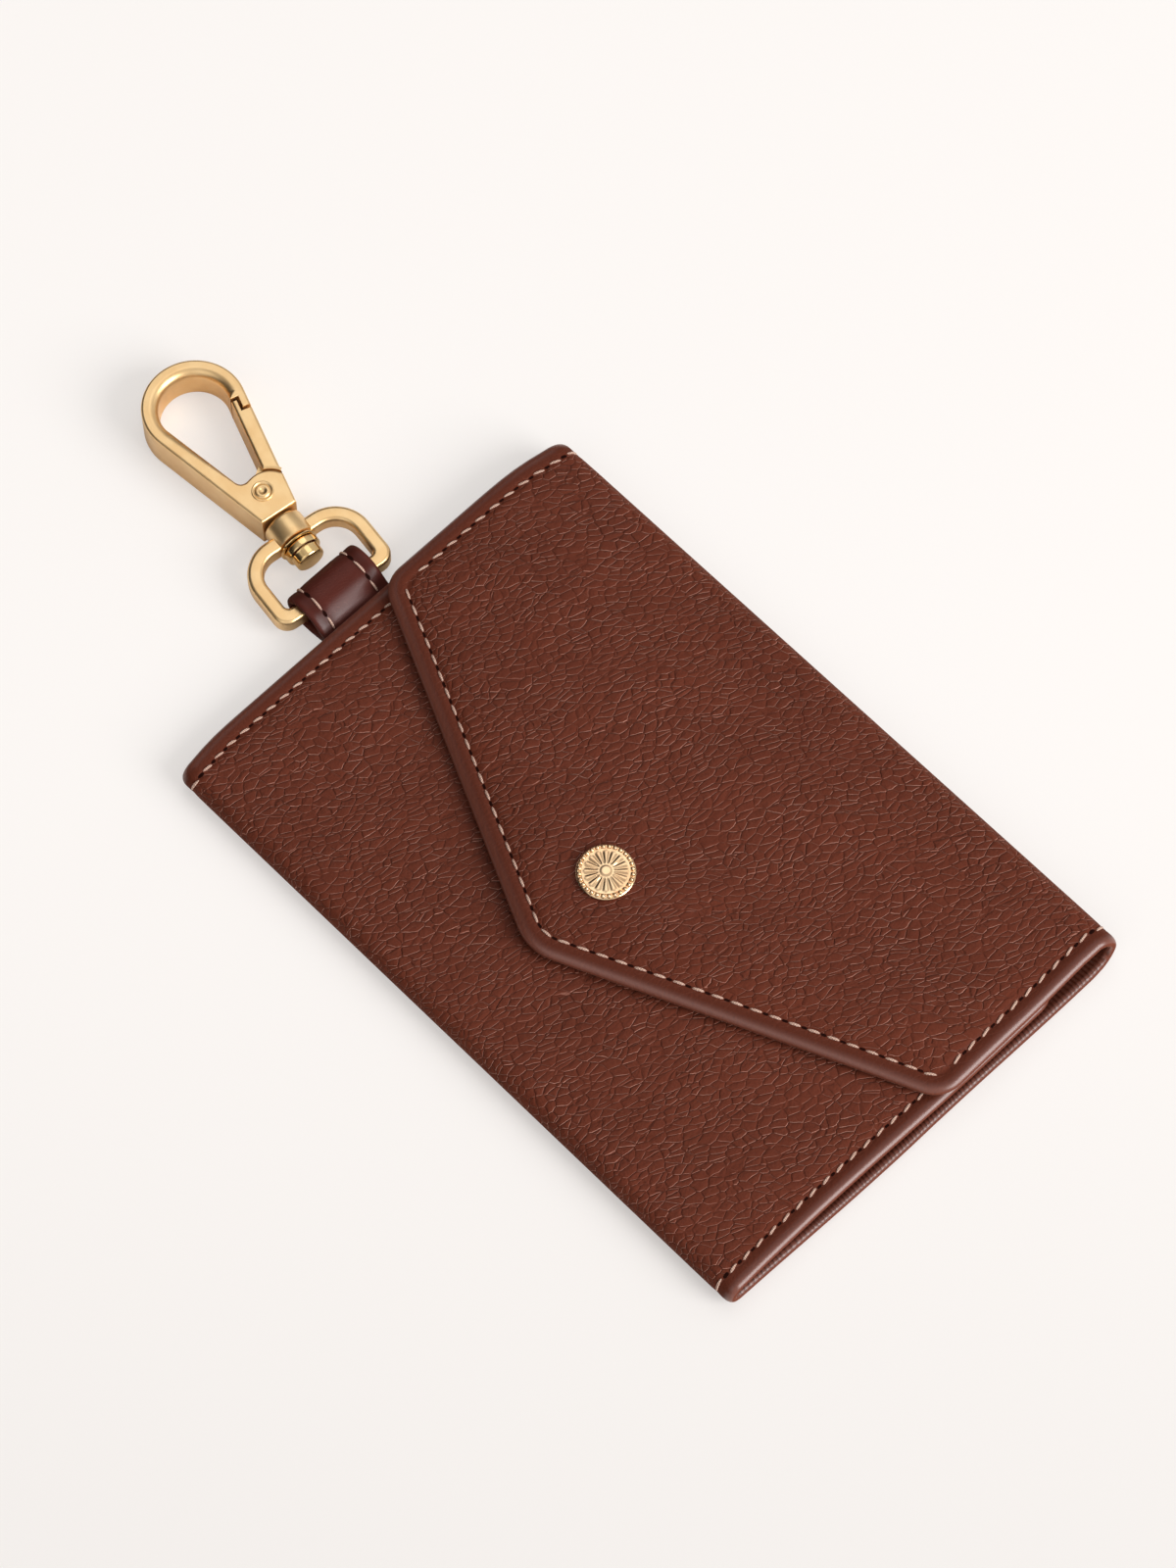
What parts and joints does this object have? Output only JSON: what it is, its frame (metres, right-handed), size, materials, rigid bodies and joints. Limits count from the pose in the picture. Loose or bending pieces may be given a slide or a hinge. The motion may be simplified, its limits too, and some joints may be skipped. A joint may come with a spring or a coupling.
{
  "type": "envelope card purse with swivel hook",
  "caption": "Small leather envelope purse with a pointed snap flap, folded side gussets and a swivel trigger hook on a sewn tab, for cards, coins or keys.",
  "frame": {"origin": "middle of the flat back, which lies on the table", "axes": "+X along the top fold and away from the hook, +Y up to the top fold, +Z out of the front"},
  "size_m": [0.154, 0.0734, 0.0097],
  "materials": {
    "grain_leather": "pebbled, satin",
    "thin_leather": "thin, crinkled, soft gloss",
    "tab_leather": "smooth, glossy",
    "lining_cloth": "plain weave, matt",
    "stiffener_board": "pressed fibre, matt",
    "satin_gold": "satin plated faces with polished edges",
    "rose_gold": "polished, lightly darkened in the recesses",
    "plated_steel": "nickel plated",
    "spring_steel": "bare wire"
  },
  "bodies": {
    "purse": {"back_panel": "grain_leather", "back_board": "stiffener_board", "back_lining": "lining_cloth", "bottom_fold": "grain_leather", "top_fold": "grain_leather", "gusset_left": "thin_leather", "gusset_right": "thin_leather", "tab_loop": "tab_leather"},
    "front": {"front_panel": "grain_leather", "front_board": "stiffener_board", "front_lining": "lining_cloth", "snap_stud": "plated_steel", "snap_eyelet": "plated_steel"},
    "flap": {"flap": "grain_leather", "flap_board": "stiffener_board", "flap_lining": "lining_cloth", "snap_cap": "rose_gold", "snap_socket": "plated_steel", "snap_spring": "spring_steel"},
    "ring": {"swivel_ring": "satin_gold"},
    "hook": {"hook_body": "satin_gold", "swivel_stud": "satin_gold", "swivel_collar": "satin_gold", "gate_pin": "satin_gold", "gate_spring": "spring_steel"},
    "gate": {"gate": "satin_gold"}
  },
  "joints": [
    {"name": "flap_fold", "type": "hinge", "parent": "purse", "child": "flap", "pos_m": [0, 0.03355, 0.0032], "axis": [-1, 0, 0], "range_deg": [0, 170], "deforming": ["top_fold"]},
    {"name": "front_open", "type": "hinge", "parent": "purse", "child": "front", "pos_m": [0, -0.0345, 0.00225], "axis": [1, 0, 0], "range_deg": [0, 14], "deforming": ["bottom_fold", "gusset_left", "gusset_right"]},
    {"name": "ring_swing", "type": "hinge", "parent": "purse", "child": "ring", "pos_m": [-0.0586, -0.00195, 0.0031], "axis": [0.1392, 0.9903, 0], "range_deg": [-100, 100]},
    {"name": "hook_swivel", "type": "hinge", "parent": "ring", "child": "hook", "pos_m": [-0.0586, -0.00195, 0.0031], "axis": [-0.9903, 0.1392, 0], "continuous": true},
    {"name": "gate_pivot", "type": "hinge", "parent": "hook", "child": "gate", "pos_m": [-0.07583, 0.00047, 0.0031], "axis": [0, 0, 1], "range_deg": [0, 26], "stiffness_Nm_per_rad": 0.05, "springref_deg": -14.32}
  ],
  "couplings": [
    {"joint": "front_open", "follows": "flap_fold", "ratio": 0.08}
  ]
}
